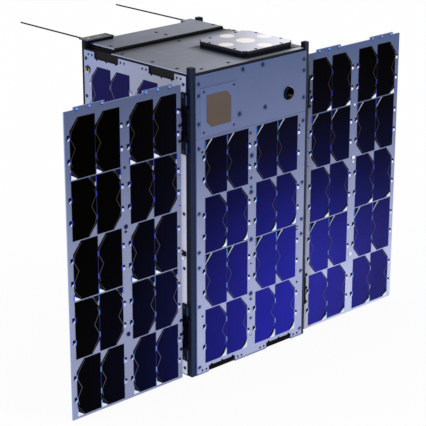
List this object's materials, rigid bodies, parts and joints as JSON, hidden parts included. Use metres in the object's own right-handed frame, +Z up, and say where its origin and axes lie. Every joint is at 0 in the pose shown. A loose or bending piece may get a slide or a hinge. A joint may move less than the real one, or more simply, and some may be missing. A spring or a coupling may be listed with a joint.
{
  "type": "satellite",
  "caption": "Boxy small satellite with corner rails, solar cells on its sides, two unfolded solar wings, a patch antenna, a top array antenna and two rear antenna rods.",
  "frame": {"origin": "midway between the feet of the four corner rails, on the plane that the feet stand on", "axes": "+Z up along the rails; front face with the patch antenna towards -Y; wings spread along X"},
  "size_m": [0.6374, 0.3974, 0.4453],
  "materials": {
    "rail": "hard anodised, satin",
    "deck": "fine milled, matt",
    "panel": "solder-masked board, satin",
    "cell": "cover glass over dark cells, glossy",
    "tile": "polished tile",
    "ceramic": "matt",
    "black_metal": "black anodised, satin",
    "lens": "dark glass, glossy",
    "brass": "gold plated, satin",
    "array_face": "pale board, satin",
    "disc": "matt",
    "rod": "dark, satin",
    "board": "bare board, matt",
    "steel": "ground",
    "stack": "plain"
  },
  "bodies": {
    "bus": {"rail_front_left": "rail", "rail_front_right": "rail", "rail_rear_left": "rail", "rail_rear_right": "rail", "top_deck": "deck", "bottom_deck": "deck", "front_solar_panel": "panel", "front_upper_panel": "panel", "left_panel": "panel", "right_panel": "panel", "rear_panel": "panel", "front_cells": "cell", "left_cells": "cell", "right_cells": "cell", "rear_cells": "cell", "front_diodes": "tile", "left_diodes": "tile", "right_diodes": "tile", "rear_diodes": "tile", "patch_base": "panel", "patch_element": "ceramic", "sensor_barrel": "black_metal", "sensor_lens": "lens", "side_port": "brass", "array_base": "black_metal", "array_board": "array_face", "array_discs": "disc", "antenna_housing": "deck", "antenna_rods": "rod", "corner_board": "board", "board_spacer": "black_metal", "equipment_stack": "stack", "left_body_leaves": "black_metal", "right_body_leaves": "black_metal", "left_hinge_pins": "steel", "right_hinge_pins": "steel"},
    "left_wing": {"left_wing_panel": "panel", "left_wing_cells": "cell", "left_wing_diodes": "tile", "left_wing_leaves": "black_metal"},
    "right_wing": {"right_wing_panel": "panel", "right_wing_cells": "cell", "right_wing_diodes": "tile", "right_wing_leaves": "black_metal"}
  },
  "joints": [
    {"name": "left_wing_hinge", "type": "hinge", "parent": "bus", "child": "left_wing", "pos_m": [-0.1199, -0.0996, 0.2115], "axis": [0, 0, 1], "range_deg": [-90, 0], "stiffness_Nm_per_rad": 0.04, "springref_deg": 20.05},
    {"name": "right_wing_hinge", "type": "hinge", "parent": "bus", "child": "right_wing", "pos_m": [0.1199, -0.0996, 0.2115], "axis": [0, 0, 1], "range_deg": [0, 90], "stiffness_Nm_per_rad": 0.04, "springref_deg": -20.05}
  ]
}
